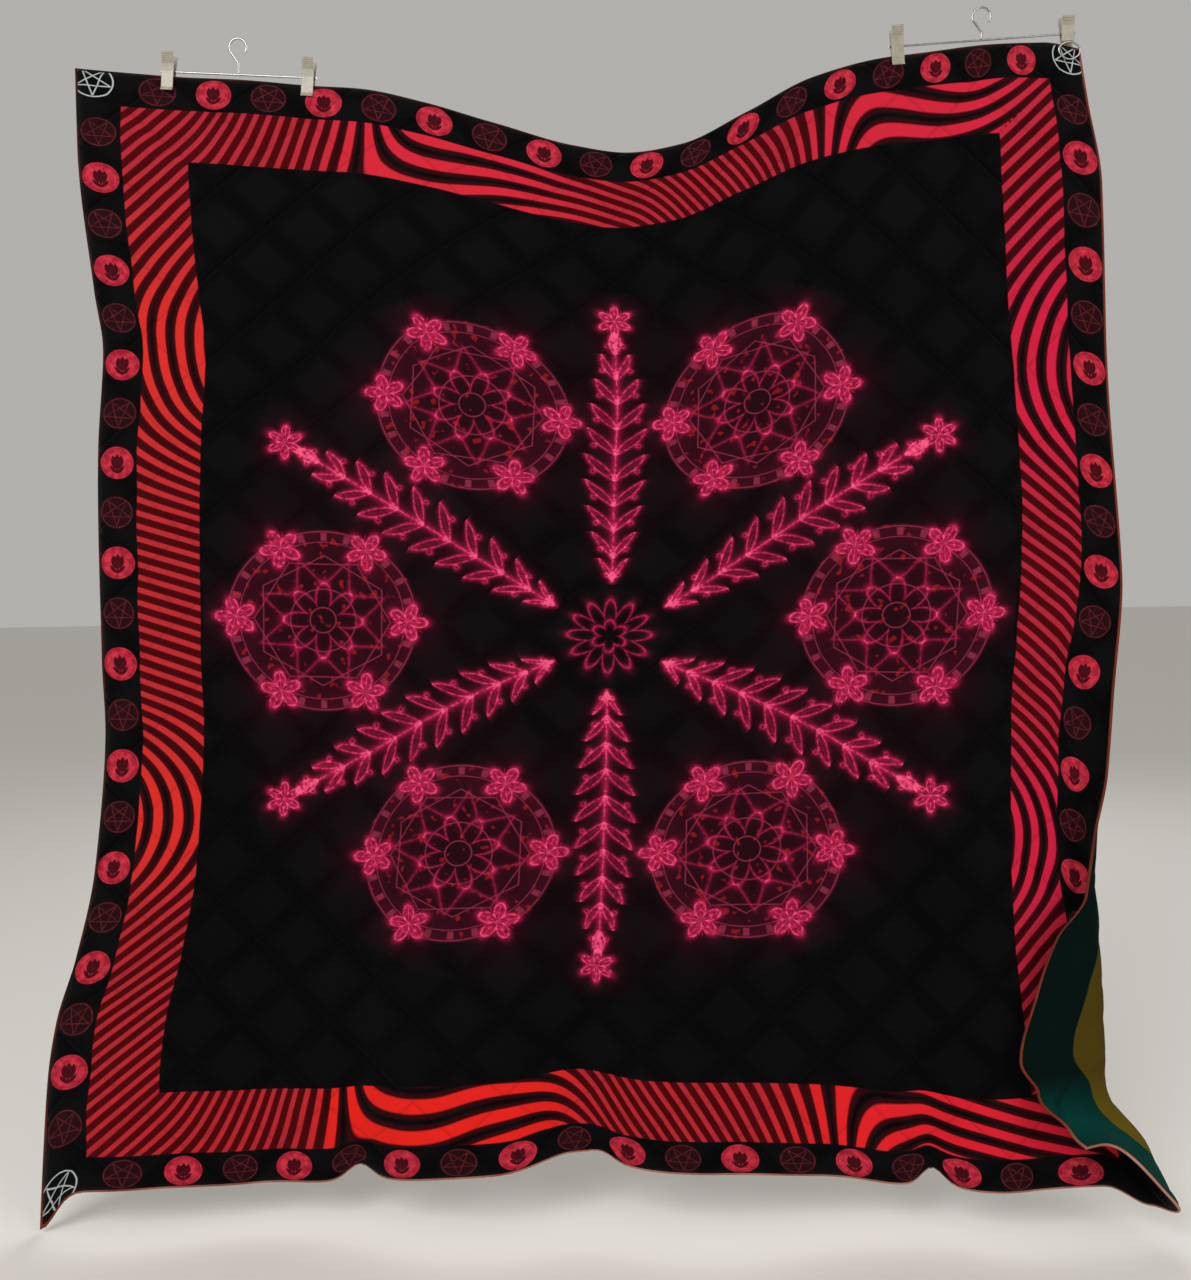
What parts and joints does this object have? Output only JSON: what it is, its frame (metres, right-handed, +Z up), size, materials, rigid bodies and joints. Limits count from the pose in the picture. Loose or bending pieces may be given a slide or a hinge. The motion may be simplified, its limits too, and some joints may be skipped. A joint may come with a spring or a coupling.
{
  "type": "quilt on clip hangers",
  "caption": "Black printed quilt with red striped and roundel borders, hung from clip hangers, its lower right edge rolled forward.",
  "frame": {"origin": "on the line that the crowns of both hanger hooks rest on, half way between the hooks", "axes": "+Z up, from the hem to the hooks; +Y from the printed face to the wall; +X to the right seen from the front"},
  "size_m": [1.5679, 0.2581, 1.7243],
  "materials": {
    "printed_cloth": "matt woven cotton, quilted, black with a red and pink print; dark teal and olive on the reverse",
    "binding_tape": "matt pinkish brown bias tape",
    "steel_wire": "bright nickel plated wire",
    "clip_plastic": "pale grey moulded plastic"
  },
  "bodies": {
    "root": {"quilt": "printed_cloth", "binding": "binding_tape", "rod_left": "steel_wire", "rod_right": "steel_wire", "hook_left": "steel_wire", "hook_right": "steel_wire", "clip_1_front": "clip_plastic", "clip_1_back": "clip_plastic", "clip_1_spring": "steel_wire", "clip_2_front": "clip_plastic", "clip_2_back": "clip_plastic", "clip_2_spring": "steel_wire", "clip_3_front": "clip_plastic", "clip_3_back": "clip_plastic", "clip_3_spring": "steel_wire", "clip_4_front": "clip_plastic", "clip_4_back": "clip_plastic", "clip_4_spring": "steel_wire", "clip_4_loop": "steel_wire"}
  },
  "joints": []
}
